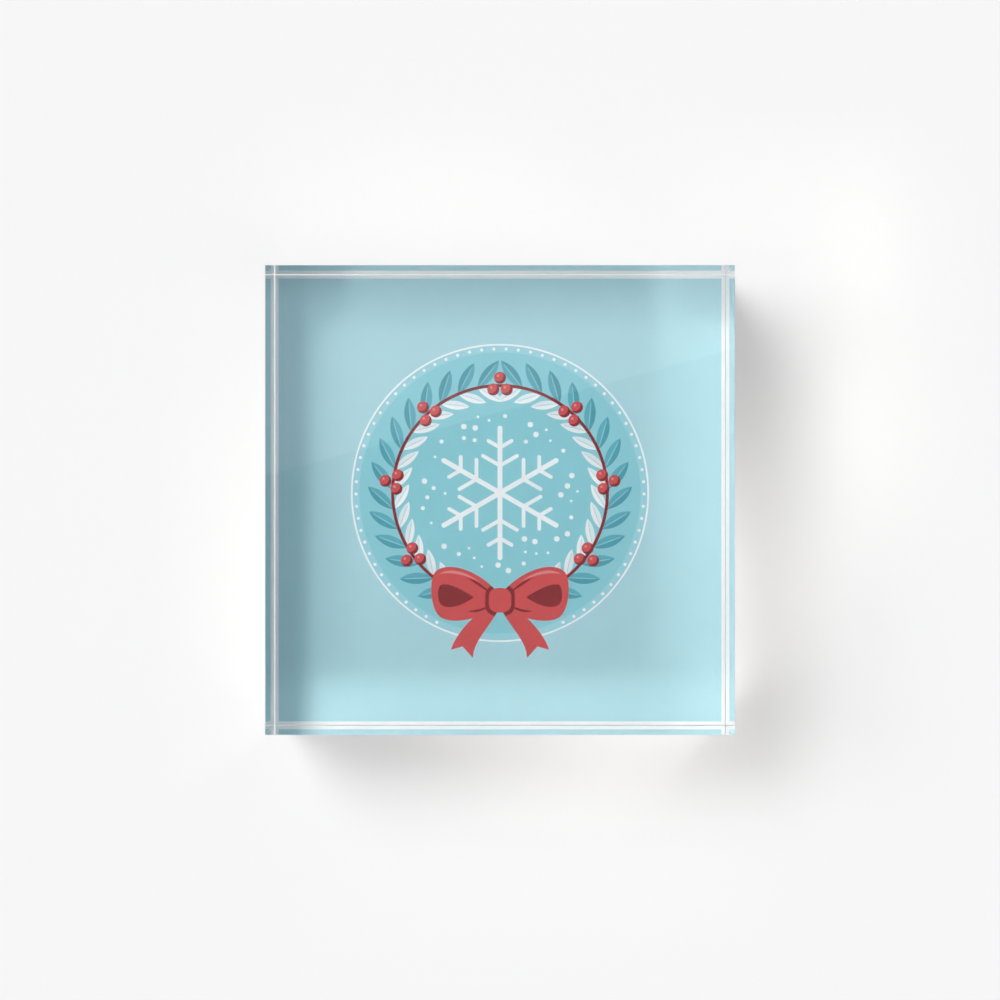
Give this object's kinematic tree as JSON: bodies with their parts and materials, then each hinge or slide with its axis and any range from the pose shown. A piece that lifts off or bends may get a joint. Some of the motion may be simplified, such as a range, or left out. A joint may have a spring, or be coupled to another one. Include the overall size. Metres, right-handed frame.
{
  "type": "acrylic picture block",
  "caption": "Square clear acrylic block with polished edges and a winter wreath print mounted behind it, lying on its back; it also stands on its lower side.",
  "frame": {"origin": "centre of the backing's lower face, on which the block lies", "axes": "+Z out of the picture, through the clear block; +Y to the top of the picture; +X to its right"},
  "size_m": [0.1016, 0.1016, 0.0264],
  "materials": {
    "clear_acrylic": "polished clear acrylic",
    "clear_adhesive": "optically clear adhesive",
    "pale_blue_ink": "cured ink under clear adhesive",
    "pale_aqua_ink": "cured ink under clear adhesive",
    "aqua_ink": "cured ink under clear adhesive",
    "deep_aqua_ink": "cured ink under clear adhesive",
    "white_ink": "cured ink under clear adhesive",
    "red_ink": "cured ink under clear adhesive",
    "maroon_ink": "cured ink under clear adhesive",
    "white_film": "satin white film",
    "backing_adhesive": "milky transfer adhesive",
    "white_vinyl": "matt embossed vinyl"
  },
  "bodies": {
    "root": {"acrylic_block": "clear_acrylic", "mounting_adhesive": "clear_adhesive", "field_ink": "pale_blue_ink", "rim_ink": "pale_aqua_ink", "disc_ink": "aqua_ink", "outline_ink": "white_ink", "leaf_ink": "deep_aqua_ink", "frost_leaf_ink": "white_ink", "stem_ink": "maroon_ink", "berry_ink": "red_ink", "berry_shade_ink": "maroon_ink", "bow_ink": "red_ink", "bow_shade_ink": "maroon_ink", "snowflake_ink": "white_ink", "snow_ink": "white_ink", "print_film": "white_film", "backing_adhesive": "backing_adhesive", "backing_sheet": "white_vinyl"}
  },
  "joints": []
}
